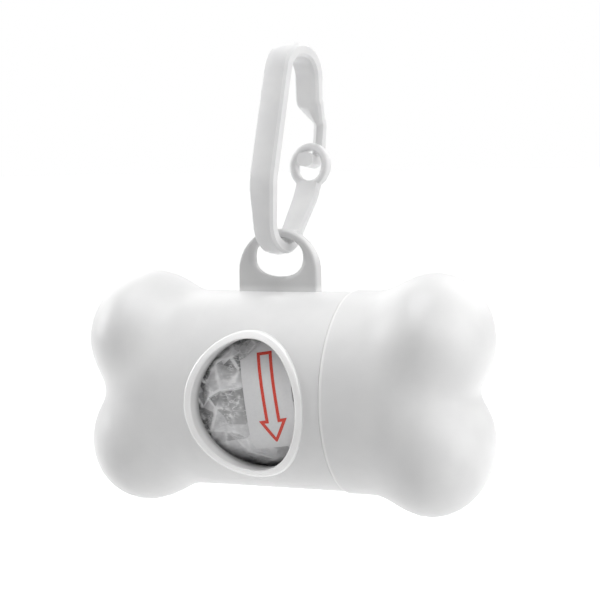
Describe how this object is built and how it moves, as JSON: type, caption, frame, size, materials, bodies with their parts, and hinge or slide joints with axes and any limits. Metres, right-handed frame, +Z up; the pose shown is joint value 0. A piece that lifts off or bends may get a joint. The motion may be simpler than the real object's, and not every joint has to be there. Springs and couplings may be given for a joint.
{
  "type": "dog poop bag dispenser",
  "caption": "Bone-shaped dispenser for a roll of waste bags: oval window in the barrel, twist-off bone end, and a moulded snap clip in an eye on top.",
  "frame": {"origin": "inside top of the clip's loop, where the clip hangs from a lead or ring", "axes": "+X along the barrel towards the twist-off cap, +Y to the back (the window faces -Y), +Z up"},
  "size_m": [0.08, 0.0389, 0.0895],
  "materials": {
    "white_plastic": "satin",
    "clip_plastic": "satin",
    "cardboard": "matte",
    "bag_film": "satin",
    "paper": "matte"
  },
  "bodies": {
    "clip": {"clip": "clip_plastic"},
    "gate": {"gate": "clip_plastic"},
    "shell": {"shell": "white_plastic"},
    "cap": {"cap": "white_plastic"},
    "roll": {"roll_core": "cardboard", "bag_roll": "bag_film", "paper_band": "paper", "loose_bag": "bag_film"}
  },
  "joints": [
    {"name": "clip_swing", "type": "hinge", "parent": "clip", "child": "shell", "pos_m": [-0.00109, -0.00594, -0.03173], "axis": [0.9836, -0.1805, 0], "range_deg": [-40, 40]},
    {"name": "gate_open", "type": "hinge", "parent": "clip", "child": "gate", "pos_m": [-0.00041, -0.00225, -0.03472], "axis": [0.9836, -0.1805, 0], "range_deg": [0, 22], "stiffness_Nm_per_rad": 0.1},
    {"name": "cap_turn", "type": "hinge", "parent": "shell", "child": "cap", "pos_m": [0.02081, -0.00594, -0.06393], "axis": [1, 0, 0], "range_deg": [0, 90]},
    {"name": "roll_spin", "type": "hinge", "parent": "shell", "child": "roll", "pos_m": [0.00081, -0.00594, -0.06393], "axis": [1, 0, 0], "continuous": true}
  ]
}
